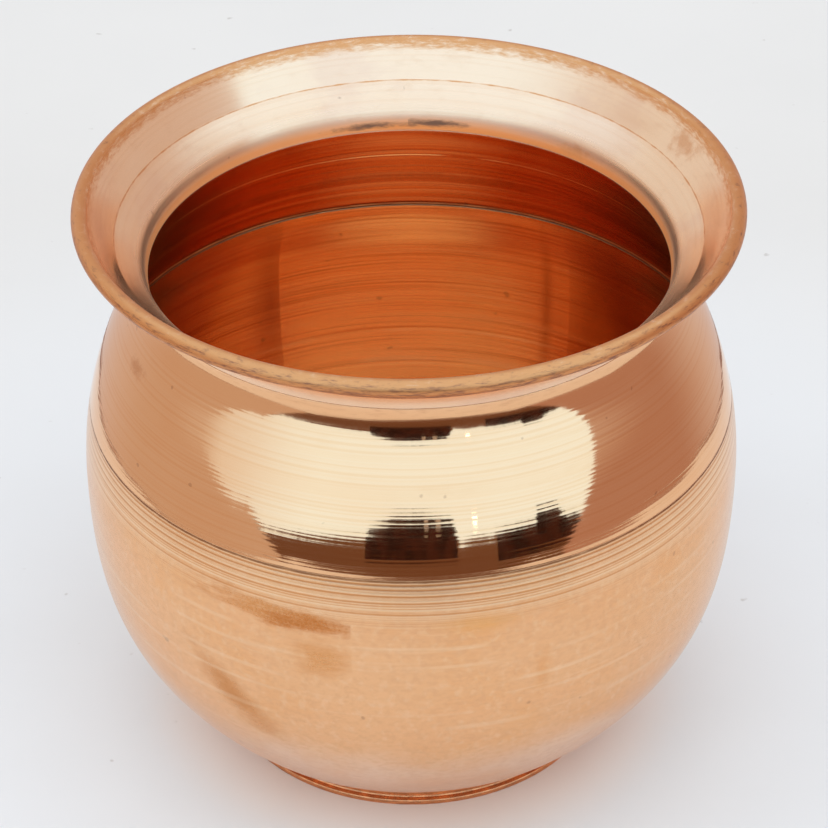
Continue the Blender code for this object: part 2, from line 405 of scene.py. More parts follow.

# What a patch has unless its own line says otherwise
patchBase = {
    "slant": 0.0,
    "ragged": 2.6,              # how far the edge is torn
    "soft": 0.1,                # where it begins to fade, 0 in the middle and 1 at the edge
    "edge": 1.15,               # where it has faded out
    "drawn": 1.0,               # above 1 it breaks up into streaks round the pot
    "cutSoft": 0.04,            # fading along a side that is cut off
    "inside": False,            # on raw metal only; used for the painted reflections inside the belly
}


# Angle in degrees from the front, height and half sizes in mm, noise per metre; cut and worn can be added
def patchAt(angle, height, width, tall, grain, strength, colour, **own):
    return {**patchBase, "angle": angle, "height": height, "width": width, "tall": tall, "grain": grain,
            "strength": strength, "colour": colour, **own}


# Copper: one set of nodes, whose numbers each piece's dictionary gives
def copper(name, look, turning):
    made = bpy.data.materials.new(name)
    made.use_nodes = True
    tree = made.node_tree
    shader = tree.nodes["Principled BSDF"]
    # brushed round the axis, so reflections spread up and down
    shader.inputs["Anisotropic"].default_value = look["brushed"]
    shader.inputs["Anisotropic Rotation"].default_value = 0.25
    tangent = addNode(tree, "ShaderNodeTangent", direction_type="RADIAL", axis="Z")
    tree.links.new(tangent.outputs[0], shader.inputs["Tangent"])
    place = addNode(tree, "ShaderNodeTexCoord").outputs["Object"]
    parts = addNode(tree, "ShaderNodeSeparateXYZ", {0: place})
    x, y, z = (parts.outputs[axis] for axis in "XYZ")
    radius = calc(tree, "SQRT", plus(tree, times(tree, x, x), times(tree, y, y)))
    angle = calc(tree, "ARCTAN2", x, times(tree, y, -1.0))
    finish, mark, ageAndShade = (addNode(tree, "ShaderNodeAttribute", attribute_name=label).outputs["Fac"]
                         for label in ("finish", "mark", "ageAndShade"))
    polished = smooth(tree, finish, *wear["polish"])
    raw = minus(tree, 1.0, polished)

    # noise drawn out round the axis: long marks such as a wheel or a cloth leaves
    def roundNoise(sizes, detail=2.0, roughness=0.5):
        across, along = sizes
        drawn = addNode(tree, "ShaderNodeVectorMath", {0: place, 1: (along, along, across)},
                        operation="MULTIPLY")
        return noise(tree, drawn.outputs[0], 1.0, detail, roughness)

    def plainNoise(size, detail=3.0, roughness=0.55):
        return noise(tree, place, size, detail, roughness)

    # a ring right round the pot, fading towards its edges
    def ringAt(height, half, show):
        away = calc(tree, "ABSOLUTE", minus(tree, z, height * mm))
        return smooth(tree, away, wear["core"] * half * mm, half * mm, show, 0.0)

    def spotOf(patch):
        along = times(tree, minus(tree, angle, math.radians(patch["angle"])), radius)
        side = calc(tree, "DIVIDE", along, patch["width"] * mm)
        level = plus(tree, z, times(tree, along, patch["slant"]))
        rise = calc(tree, "DIVIDE", minus(tree, level, patch["height"] * mm), patch["tall"] * mm)
        far = calc(tree, "SQRT", plus(tree, times(tree, side, side), times(tree, rise, rise)))
        torn = roundNoise((patch["grain"], patch["grain"] / patch["drawn"]), 5.0, 0.65)
        far = plus(tree, far, times(tree, minus(tree, torn, 0.5), patch["ragged"]))
        spot = smooth(tree, far, patch["soft"], patch["edge"], patch["strength"], 0.0)
        if patch["inside"]:
            spot = times(tree, spot, raw)
        if "cut" in patch:
            sideAway = times(tree, side, math.copysign(1.0, patch["cut"]))
            cut = abs(patch["cut"])
            spot = times(tree, spot, smooth(tree, sideAway, cut - patch["cutSoft"], cut, 1.0, 0.0))
        if "worn" in patch:
            rubbed = smooth(tree, plainNoise(wear["rubbed"]), 0.4, 0.6, 1.0 - patch["worn"], 1.0)
            spot = times(tree, spot, rubbed)
        return spot

    fine = roundNoise(wear["fine"])
    lines = roundNoise(wear["lines"])
    bands = roundNoise(wear["bands"], 3.0)
    brushLines = roundNoise(wear["brushLines"], 3.0, 0.6)
    cloudy = plainNoise(wear["clouds"])
    grain = plainNoise(wear["grain"], 2.0)

    # colour: clean metal with a warmer tone in bands and clouds, brush lines where it is raw
    warm = times(tree, smooth(tree, plus(tree, bands, cloudy), 0.85, 1.25), look["warmth"])
    colour = blendColour(tree, warm, look["clean"], look["warm"])
    brushed = times(tree, raw, smooth(tree, lines, 0.3, 0.6, 0.72, 1.0))
    colour = blendColour(tree, brushed, colour, look["raw"])
    bright = times(tree, raw, smooth(tree, brushLines, 0.5, 0.72, 0.0, look["lineShow"]))
    colour = blendColour(tree, bright, colour, look["lineBright"])
    dark = times(tree, raw, smooth(tree, brushLines, 0.3, 0.5, look["lineShow"], 0.0))
    colour = blendColour(tree, dark, colour, look["lineDark"])
    if "lower" in look:  # another tone below a height
        height, half, tone = look["lower"]
        level = plus(tree, z, times(tree, minus(tree, cloudy, 0.5), wear["lowerSpread"]))
        low = smooth(tree, level, (height - half) * mm, (height + half) * mm, 1.0, 0.0)
        colour = blendColour(tree, times(tree, low, polished), colour, tone)
    # mottling, softly drawn out round the pot
    for across, along, low, high, show, tone in look["mottles"]:
        blotched = smooth(tree, roundNoise((across, along), 5.0, 0.62), low, high, 0.0, show)
        colour = blendColour(tree, times(tree, blotched, polished), colour, tone)
    # turning lines have kept some brown, and the metal between them is pale
    cuts = turningNoise(tree, z, {**latheDefaults, **turning}["Line Pitch"], seedStep * turning["Seed"])
    lined = times(tree, calc(tree, "DIVIDE", mark, look["fullMark"]), look["grooveShow"])
    ridge = times(tree, lined, smooth(tree, cuts, 0.42, 0.62))
    colour = blendColour(tree, ridge, colour, look["pale"])
    kept = times(tree, lined, smooth(tree, cuts, 0.3, 0.5, 1.0, 0.0))
    colour = blendColour(tree, kept, colour, look["groove"])
    # single rings on raw metal, broken in places: dark ones that the tool left, and a pale one that is a
    # painted highlight
    for height, half, show, tone in look["rings"]:
        broken = smooth(tree, plainNoise(wear["breaks"], 4.0), 0.35, 0.55)
        ring = times(tree, times(tree, ringAt(height, half, show), raw), broken)
        colour = blendColour(tree, ring, colour, tone)
    # patches: stains, and painted reflections and shade where a piece's list says so; those inside the
    # belly leave the roughness alone
    dulled = 0.0
    for patch in look["patches"]:
        spot = spotOf(patch)
        colour = blendColour(tree, spot, colour, patch["colour"])
        if not patch["inside"]:
            dulled = calc(tree, "MAXIMUM", spot, dulled)
    # pale bands left by the polishing cloth
    for height, half in look["bands"]:
        wiped = smooth(tree, roundNoise(wear["cloth"], 4.0), 0.45, 0.6)
        band = times(tree, times(tree, ringAt(height, half, 1.0), wiped), look["bandShow"])
        colour = blendColour(tree, band, colour, look["pale"])
    specks = smooth(tree, plainNoise(look["speckSize"], 1.0), 0.76, 0.80, 0.0, look["specks"])
    colour = blendColour(tree, specks, colour, look["tarnishAndShade"])
    # edges and corners that no cloth reaches have gone brown in patches; the same brown paints the shade in
    # the crease, under the flare and in the neck's hollow, and the dark reflection on the lip
    scratchy = minus(tree, roundNoise(wear["scratches"], 5.0, 0.7), 0.5)
    patchy = plus(tree, times(tree, ageAndShade, wear["ageAndShadePull"]), times(tree, scratchy, wear["scratchPull"]))
    brown = times(tree, smooth(tree, patchy, 0.1, 0.75), smooth(tree, ageAndShade, 0.0, 0.25))
    colour = blendColour(tree, brown, colour, look["ageAndShadeColour"])
    colour = blendColour(tree, smooth(tree, patchy, 0.85, 1.3), colour, look["tarnishAndShade"])
    dulled = calc(tree, "MAXIMUM", dulled, brown)
    tree.links.new(colour, shader.inputs["Base Color"])

    # a film on raw metal scatters light as well as mirroring it
    metal = smooth(tree, raw, 0.0, 1.0, look["metal"], look["metal"] - look["film"])
    tree.links.new(metal, shader.inputs["Metallic"])

    # roughness follows the finish, with smears and lines
    rough = ranged(tree, finish, 0.0, 1.0, look["rawRough"], look["polishedRough"])
    smear = ranged(tree, plus(tree, cloudy, fine), 0.7, 1.3, *wear["smear"])
    rough = plus(tree, times(tree, rough, smear), times(tree, dulled, look["dullness"]))
    tree.links.new(rough, shader.inputs["Roughness"])

    # bump: brush lines where raw, fine wheel lines and a soft grain everywhere
    brush = times(tree, times(tree, lines, raw), look["brush"])
    deep = plus(tree, plus(tree, brush, times(tree, fine, look["fine"])), times(tree, grain, look["grain"]))
    bump = addNode(tree, "ShaderNodeBump", {"Strength": 1.0, "Distance": 1.0 * mm, "Height": deep})
    tree.links.new(bump.outputs[0], shader.inputs["Normal"])
    return made


copperLook = {
    "clean": (0.93, 0.54, 0.295),
    "warm": (0.91, 0.48, 0.24),
    "warmth": 0.5,
    "raw": (0.92, 0.43, 0.17),
    "pale": (0.94, 0.64, 0.42),
    "ageAndShadeColour": (0.46, 0.19, 0.09),
    "tarnishAndShade": (0.22, 0.10, 0.06),
    "metal": 1.0,
    "film": 0.0,
    "polishedRough": 0.14,
    "rawRough": 0.22,
    "dullness": 0.15,           # roughness that brown places and patches have more
    "brushed": 0.9,
    "brush": 0.05,
    "fine": 0.004,
    "grain": 0.003,
    "lineShow": 0.5,
    "lineBright": (0.97, 0.56, 0.27),
    "lineDark": (0.70, 0.24, 0.07),
    "fullMark": 0.009 * mm,     # depth of turning lines that are coloured in full
    "grooveShow": 0.3,
    "groove": (0.80, 0.38, 0.16),
    "mottles": [],              # noise across and along the turning, from, to, strength, colour
    "rings": [],                # height and half width in mm, strength, colour
    "bands": [],                # height and half width in mm
    "bandShow": 0.0,
    "specks": 0.3,
    "speckSize": 420.0,
    "patches": [],
}

# Mouth: free lower edge, cove, flare with its crease, lip rolled over the wire
mouth = {
    "turning": {"Line Pitch": 0.8 * mm, "Wobble": 0.03 * mm, "Wobble Size": 30.0, "Seed": 3},
    "flareMark": 0.003 * mm,
    "glowRise": 8.0 * mm,       # height above the throat over which the polish comes back
    "throatFinish": 0.12,
    "fillerReach": 3.0 * mm,
    # brown on the lip, most at its outer edge: tarnish, and on that edge a painted dark reflection; the
    # mouth's brown is set so the lip's reflection reads golden
    "lipAgeAndReflection": (0.48, 0.98),
    "lipSpread": 2.4 * mm,      # of the lip's brown onto the flare
    # browner under the lip and the flare: painted shade
    "underFlareShade": (1.0, 0.8),
    "creaseSoft": 0.35 * mm,
    # a thin brown line along the crease: painted shade of the fold
    "creaseShadeReach": 0.14 * mm,
    "creaseShade": 0.5,
    "edgeSoft": 0.18 * mm,
    "look": {
        # the raw orange with its film shows low at the throat, where it is a painted sheen
        **copperLook, "clean": (0.94, 0.63, 0.42), "warm": (0.93, 0.57, 0.34), "raw": (0.98, 0.36, 0.09),
        "ageAndShadeColour": (0.72, 0.31, 0.12), "tarnishAndShade": (0.28, 0.11, 0.07), "metal": 0.94, "film": 0.7,
        "polishedRough": 0.17, "rawRough": 0.4, "dullness": 0.07, "lineShow": 0.2,
        "mottles": [
            (70.0, 45.0, 0.50, 0.66, 0.4, (0.82, 0.50, 0.35)),
            (500.0, 220.0, 0.54, 0.76, 0.3, (0.80, 0.46, 0.27)),
        ],
        "patches": [
            patchAt(113.0, 103.0, 5.0, 2.4, 380.0, 0.6, (0.66, 0.27, 0.10)),
            # a dark broken line low on the cove at the back: painted reflection of the dark inner wall
            patchAt(-171.0, 93.6, 8.0, 0.7, 900.0, 0.9, (0.16, 0.09, 0.06), drawn=3.0, ragged=2.0),
            patchAt(174.0, 93.8, 7.0, 0.8, 900.0, 0.9, (0.16, 0.09, 0.06), drawn=3.0, ragged=2.0),
            patchAt(138.0, 94.0, 4.0, 1.5, 500.0, 0.6, (0.80, 0.34, 0.12)),
            # darker on the flare's left and right sides
            patchAt(-84.0, 102.6, 17.0, 2.8, 70.0, 0.55, (0.66, 0.36, 0.25), soft=-0.4, ragged=0.9),
            patchAt(84.0, 102.4, 18.0, 2.4, 70.0, 0.5, (0.76, 0.38, 0.19), soft=-0.4, ragged=0.9),
            patchAt(128.0, 101.5, 9.0, 2.0, 110.0, 0.35, (0.80, 0.46, 0.26), soft=-0.3, ragged=1.2),
        ],
    },
}


def mouthOutline():
    curl = pot["curlRadius"]
    curlStart = touching(crease, curlCentre, curl) + up
    curlEnd = curlStart + math.acos((curl - sheet - gap) / curl) - 2 * math.pi
    over = arcLine(curlCentre, curl, curlStart, curlEnd, 96)
    under = arcLine(curlCentre, curl - sheet, curlEnd, curlStart, 60)
    # the crease is turned over a small radius, so its corner is cut by a short curve
    soft = mouth["creaseSoft"]
    before = bend[np.linalg.norm(bend - crease, axis=1) > soft]
    after = crease + (over[0] - crease) / np.linalg.norm(over[0] - crease) * soft
    inner = np.vstack([before, bezierLine(before[-1], crease, crease, after, 12)[1:], over[:1]])
    outer = inset(inner, -sheet)
    # outside, filler carries the hollow of the neck on until it meets the flare
    edge = pot["edgeHeight"] + gap
    highest = edge + mouth["fillerReach"]
    meeting = crossing(outer, neckHollow(edge, highest), edge, highest)
    filled = neckHollow(edge, meeting)[::-1]
    flareUnder = between(outer, meeting, outer[-1, 1])[::-1]
    seated = between(outer, outer[0, 1], edge)[::-1]
    # the lower edge is cut square and its inner corner rubbed round
    soft = mouth["edgeSoft"]
    cut = np.vstack([outer[0], throat + (outer[0] - throat) / sheet * soft])
    rise = inner[np.linalg.norm(inner - throat, axis=1) > soft]
    rubbed = bezierLine(cut[-1], throat, throat, rise[0], 12)
    flareRun = stretch(rise, 0.14 * mm, 1.0, mouth["flareMark"], 0.05)
    # towards the throat the polish fades and a film makes the metal orange: a painted sheen along the
    # throat's edge
    upCove = eased(flareRun[:, 1], throat[1], throat[1] + mouth["glowRise"])
    flareRun[:, 2] = mouth["throatFinish"] + (1.0 - mouth["throatFinish"]) * upCove
    away = np.linalg.norm(flareRun[:, :2] - crease, axis=1) / mouth["creaseShadeReach"]
    fromLip = np.linalg.norm(flareRun[:, :2] - over[0], axis=1) / mouth["lipSpread"]
    flareRun[:, 4] = np.maximum(mouth["creaseShade"] * np.exp(-away**2), mouth["lipAgeAndReflection"][0] * (1.0 - fromLip))
    return outlineOf(
        stretch(cut, 0.2 * mm, 0.2, ageAndShade=(0.6, 0.2)),
        stretch(rubbed, 0.05 * mm, 0.8),
        flareRun,
        stretch(over, 0.10 * mm, 0.75, ageAndShade=mouth["lipAgeAndReflection"]),
        stretch(under, 0.2 * mm, 0.2, ageAndShade=(0.9, 0.9)),
        stretch(flareUnder, 0.2 * mm, 0.8, ageAndShade=mouth["underFlareShade"]),
        stretch(filled, 0.12 * mm, 0.9),
        stretch(np.vstack([filled[-1], seated[0]]), 0.2 * mm, 0.2),
        stretch(seated, 0.3 * mm, 0.2),
    )


turnPiece("mouthFlare", "mouth_flare", mouthOutline(),
          copper("mouthCopper", mouth["look"], mouth["turning"]), mouth["turning"])

# Wire: round core of the lip, hidden in the roll
wire = {
    "radius": 0.70 * mm,
    "turning": {"Sides": 192, "Wobble": 0.01 * mm, "Wobble Size": 60.0, "Seed": 5},
    "look": {**copperLook, "rawRough": 0.38},
}
wireCircle = arcLine(curlCentre, wire["radius"], 0.0, 2 * math.pi)
turnPiece("rimWire", "rim_wire", outlineOf(stretch(wireCircle, 0.2 * mm, 0.2))[:-1],
          copper("wireCopper", wire["look"], wire["turning"]), wire["turning"])

# Shoulder: polished outside with clear turning lines, left as formed inside
shoulder = {
    "mark": 0.005 * mm,
    "hollow": 4.0 * mm,         # upper edge down to where the turning lines begin
    # browner towards the upper edge: painted shade in the neck's hollow under the flare
    "hollowShade": (0.0, 0.15),
    "turning": {"Line Pitch": 0.5 * mm, "Wobble": 0.04 * mm, "Wobble Size": 25.0, "Seed": 11},
    "look": {
        # the inside's raw red is much darker than the belly's inside: painted shade under the neck
        **copperLook, "polishedRough": 0.05, "raw": (0.67, 0.15, 0.036),
        "lineBright": (0.80, 0.25, 0.07), "lineDark": (0.40, 0.085, 0.02),
        "mottles": [(350.0, 60.0, 0.54, 0.74, 0.25, (0.84, 0.43, 0.20))],
        "rings": [
            # a painted highlight: a bright broken line on the inside
            (84.7, 0.25, 0.9, (0.98, 0.70, 0.45)),
            (78.5, 1.8, 0.5, (0.42, 0.09, 0.025)),
            (74.0, 0.3, 0.5, (0.50, 0.16, 0.05)),
        ],
        "patches": [
            patchAt(-67.0, 84.5, 3.6, 1.6, 420.0, 0.55, (0.62, 0.26, 0.10)),
        ],
    },
}


def shoulderOutline():
    slant = math.hypot(lap, pot["joggle"])
    low = pot["seamHeight"] + gap * slant / lap
    bevel = pot["joggle"] * sheet / lap
    top = pot["edgeHeight"]
    wallInside = inset(wall, sheet)
    outside = between(wall, low, top)
    inside = between(wallInside, low + bevel, crossing(mouthSeat, wallInside, throat[1], top))[::-1]
    edge = np.array([max(radiusAt(mouthSeat, top), radiusAt(wallInside, top)), top])
    hollow = top - shoulder["hollow"]
    return outlineOf(
        stretch(between(outside, low, hollow), 0.13 * mm, 1.0, shoulder["mark"], 0.06),
        stretch(between(outside, hollow, outside[-1, 1]), 0.15 * mm, 0.9, ageAndShade=shoulder["hollowShade"]),
        stretch(np.vstack([outside[-1], edge]), 0.2 * mm, 0.3),
        stretch(np.vstack([edge, inside[0]]), 0.2 * mm, 0.3),
        stretch(inside, 0.5 * mm, 0.0),
        stretch(np.vstack([inside[-1], outside[0]]), 0.3 * mm, 0.3, ageAndShade=(0.8, 0.8)),
    )


turnPiece("shoulderShell", "shoulder_shell", shoulderOutline(),
          copper("shoulderCopper", shoulder["look"], shoulder["turning"]), shoulder["turning"])

# Belly: satin, with turning lines below the seam, thin bands under them, stains outside and painted
# reflections inside: dark vertical bands and a bright patch
belly = {
    "mark": 0.009 * mm,
    "markEnds": (57.0 * mm, 62.0 * mm),  # heights between which the turning lines come in
    "swell": (0.74 * mm, 60.5 * mm),     # set-in of the lapped edge on the inner face, and where it begins
    "thinned": 0.24 * mm,                # taken off that again up to the edge
    "brown": 0.35 * mm,                  # dirt left along the outer seam
    "heelTop": 22.0 * mm,                # rows of faces lie wider apart below these two heights
    "insideTop": 58.0 * mm,
    "turning": {"Line Pitch": 0.42 * mm, "Wobble": 0.07 * mm, "Wobble Size": 45.0, "Seed": 17},
    "look": {
        **copperLook, "clean": (0.89, 0.50, 0.26), "raw": (0.95, 0.46, 0.19), "pale": (0.96, 0.68, 0.44),
        "ageAndShadeColour": (0.34, 0.14, 0.06), "groove": (0.66, 0.29, 0.11), "grooveShow": 0.75, "lineShow": 0.7,
        # the bright brush lines are line colour and partly a painted highlight on the brushed inside
        "lineBright": (1.0, 0.60, 0.30), "lineDark": (0.66, 0.22, 0.06),
        "lower": (26.0, 6.0, (0.94, 0.64, 0.46)),  # height and half width of its edge in mm
        "bands": [(53.6, 0.6), (49.8, 0.5), (45.2, 0.6), (41.5, 0.5), (35.6, 0.8)],
        "bandShow": 0.3,
        "mottles": [
            (60.0, 50.0, 0.46, 0.66, 0.45, (0.88, 0.43, 0.17)),
            (1100.0, 800.0, 0.42, 0.66, 0.4, (0.76, 0.41, 0.21)),
            (600.0, 700.0, 0.50, 0.70, 0.4, (0.94, 0.62, 0.38)),
            (700.0, 22.0, 0.58, 0.72, 0.3, (0.96, 0.68, 0.44)),
        ],
        "patches": [
            patchAt(-24.5, 57.9, 15.5, 2.5, 600.0, 0.8, (0.70, 0.28, 0.085), slant=0.06, drawn=5.0,
                    cut=0.90, worn=0.3, soft=0.3, ragged=2.2),
            patchAt(-18.5, 57.0, 9.0, 2.3, 700.0, 0.9, (0.60, 0.20, 0.05), drawn=5.0, cut=0.93, worn=0.3,
                    soft=0.3, ragged=2.0),
            patchAt(-15.5, 50.8, 6.0, 5.0, 400.0, 0.75, (0.76, 0.33, 0.11), drawn=3.0, cut=0.90, worn=0.2,
                    ragged=1.4),
            patchAt(-32.5, 36.2, 9.5, 5.6, 220.0, 0.95, (0.68, 0.28, 0.09), slant=0.86, drawn=2.0,
                    worn=0.15, ragged=1.0),
            patchAt(12.0, 58.0, 9.0, 2.6, 240.0, 0.5, (0.92, 0.44, 0.12), drawn=2.0, soft=-0.2,
                    ragged=1.4),
            patchAt(22.0, 46.0, 2.0, 7.0, 300.0, 0.4, (0.84, 0.37, 0.12), soft=-0.2, ragged=1.4),
            # inside, painted reflections: dark vertical bands where the inner wall mirrors darker things
            patchAt(-152.5, 52.0, 6.0, 26.0, 40.0, 0.75, (0.42, 0.11, 0.03), cut=-0.30, ragged=0.3,
                    soft=-0.2, inside=True),
            patchAt(152.8, 50.0, 1.8, 24.0, 40.0, 0.6, (0.42, 0.11, 0.03), ragged=0.2, soft=-0.2,
                    inside=True),
            patchAt(138.5, 46.0, 12.0, 34.0, 40.0, 0.75, (0.42, 0.11, 0.03), cut=0.80, ragged=0.2,
                    soft=0.3, inside=True),
            # inside, a painted highlight: a bright golden patch
            patchAt(165.0, 49.0, 15.0, 24.0, 130.0, 0.75, (1.0, 0.62, 0.27), drawn=4.0, ragged=0.6,
                    soft=-0.8, inside=True),
        ],
    },
}


def bellyOutline():
    seam, setIn, high = pot["seamHeight"], pot["seamHeight"] + pot["joggle"], pot["lapHeight"]
    bottom = np.array(pot["bottom"])
    share = np.linspace(0.0, 1.0, 30)
    under = np.column_stack([bottom[0] * share, bottom[1] + pot["kick"] * (1 - share**2)])
    wallInside = inset(wall, sheet)
    outside = between(wall, bottom[1], seam)
    lapped = between(lapFace, setIn, high)
    inside = between(wallInside, wallInside[0, 1], high)
    inside[:, 0] -= belly["swell"][0] * eased(inside[:, 1], belly["swell"][1], setIn)
    inside[:, 0] += belly["thinned"] * eased(inside[:, 1], setIn, high)
    floor = (under + (0.0, sheet))[::-1]
    heelTop, insideTop, dirty = belly["heelTop"], belly["insideTop"], seam - belly["brown"]
    markLow, markHigh = belly["markEnds"]
    lined = stretch(between(outside, markLow, dirty), 0.11 * mm, 0.6)
    lined[:, 3] = belly["mark"] * eased(lined[:, 1], markLow, markHigh)
    return outlineOf(
        stretch(under, 1.0 * mm, 0.4),
        stretch(between(outside, bottom[1], heelTop), 0.9 * mm, 0.5),
        stretch(between(outside, heelTop, markLow), 0.6 * mm, 0.5),
        lined,
        stretch(between(outside, dirty, seam), 0.08 * mm, 0.5, ageAndShade=(0.2, 0.6)),
        stretch(np.vstack([outside[-1], lapped[0]]), 0.4 * mm, 0.2, ageAndShade=(0.9, 0.9)),
        stretch(lapped, 0.8 * mm, 0.1),
        stretch(np.vstack([lapped[-1], inside[-1]]), 0.1 * mm, 0.0, ageAndShade=(0.8, 0.8)),
        stretch(between(inside, insideTop, high)[::-1], 0.5 * mm, 0.0),
        stretch(between(inside, inside[0, 1], insideTop)[::-1], 1.2 * mm, 0.0),
        stretch(floor, 1.2 * mm, 0.0),
    )


turnPiece("bellyBowl", "belly_bowl", bellyOutline(),
          copper("bellyCopper", belly["look"], belly["turning"]), belly["turning"], closed=False)

# Foot: low ring with a turned-out toe
foot = {
    "wall": 1.0 * mm,
    "toeReach": 1.0 * mm,
    "toeThick": 1.1 * mm,
    "soft": 0.3 * mm,
    "turning": {"Line Pitch": 0.5 * mm, "Wobble": 0.03 * mm, "Wobble Size": 30.0, "Seed": 23},
    "look": {**copperLook, "clean": (0.90, 0.41, 0.19), "warm": (0.84, 0.34, 0.14)},
}


def footOutline():
    radius = pot["footRadius"]
    outer = radius - foot["toeReach"]
    inner = outer - foot["wall"]
    seat = inset(wall, -gap)
    corners = np.array([
        (inner, 0.0), (radius, 0.0), (radius, foot["toeThick"]), (outer, foot["toeThick"]),
        (outer, heightAt(seat, outer)), (inner, heightAt(seat, inner)),
    ])
    line = softened(corners, foot["soft"], 5)
    return outlineOf(stretch(np.vstack([line, line[:1]]), 0.16 * mm, 0.5, ageAndShade=(0.3, 0.3)))[:-1]


turnPiece("footRing", "foot_ring", footOutline(),
          copper("footCopper", foot["look"], foot["turning"]), foot["turning"])

# Brazing: a hollow-faced run of brown metal in each corner that holds two pieces together
braze = {
    "leg": 0.35 * mm,
    "hollow": 0.55,             # how far the face is drawn in towards the corner
    "turning": {"Sides": 192, "Wobble": 0.12 * mm, "Wobble Size": 300.0, "Seed": 31},
    "look": {
        **copperLook, "clean": (0.62, 0.23, 0.08), "warm": (0.54, 0.19, 0.07), "raw": (0.52, 0.14, 0.04),
        "rawRough": 0.4, "grain": 0.02, "brushed": 0.0,
    },
}
brazeMetal = copper("brazeMetal", braze["look"], braze["turning"])


def brazeOutline(corner, firstSide, secondSide):
    first = corner + braze["leg"] * toward(firstSide)
    second = corner + braze["leg"] * toward(secondSide)
    handles = [side + braze["hollow"] * (corner - side) for side in (first, second)]
    ring = np.vstack([corner, bezierLine(first, *handles, second, 12), corner])
    return outlineOf(stretch(ring, 0.12 * mm, 0.1))[:-1]


def alongWall(line, height, leg):
    return math.atan2(leg, radiusAt(line, height + leg) - radiusAt(line, height))


under = inset(wall, sheet + gap)
neckHeight = crossing(mouthSeat, under, throat[1] - braze["leg"], pot["edgeHeight"] - braze["leg"])
neckCorner = np.array([radiusAt(under, neckHeight), neckHeight])
bellyTop = pot["lapHeight"] + gap
bellyCorner = np.array([radiusAt(under, bellyTop), bellyTop])
footSeat = inset(wall, -gap)
footCornerRadius = pot["footRadius"] - foot["toeReach"] - foot["wall"] - gap
footCorner = np.array([footCornerRadius, heightAt(footSeat, footCornerRadius)])
footSlope = heightAt(footSeat, footCornerRadius - braze["leg"]) - footCorner[1]
neckSides = [alongWall(line, neckHeight, -braze["leg"]) for line in (under, mouthSeat)]
bellySides = [alongWall(wall, bellyTop, braze["leg"]), inward]
footSides = [math.atan2(footSlope, -braze["leg"]), -up]
for place, corner, sides in (("neck", neckCorner, neckSides), ("belly", bellyCorner, bellySides),
                             ("foot", footCorner, footSides)):
    turnPiece(place + "Braze", place + "_braze", brazeOutline(corner, *sides),
              brazeMetal, braze["turning"])

# Floor: a wide pale sheet that keeps the soft shadow; metal mirrors only the part near the pot
floorLook = {
    "size": 4.0,
    "colour": (0.74, 0.745, 0.75),
    # near the pot the floor is painted lighter and cooler, painted light against the pot's shadow; at the
    # foot pinker, a painted copper bounce
    "nearPotLight": (0.80, 0.84, 0.89),
    "footBounce": (0.90, 0.84, 0.82),
    "footEnds": (0.036, 0.052),  # distances from the axis between which one colour gives way to the next
    "middleEnds": (0.08, 0.20),
    "soil": (14.0, 0.12, 0.8),   # noise per metre, strength, share of the colour that is left
    "dust": (260.0, 0.35),
    "dustColour": (0.30, 0.26, 0.24),
    "mirrored": [(-0.215, -0.300), (-0.093, -0.336), (0.201, -0.269), (0.272, -0.058), (0.225, 0.058),
                 (0.121, 0.125), (-0.126, 0.127), (-0.194, 0.063), (-0.223, 0.010)],
    "edgeShadow": 0.005,               # painted shadow line round that part, seen only in reflections
    "edgeShadowColour": (0.22, 0.10, 0.06),
}


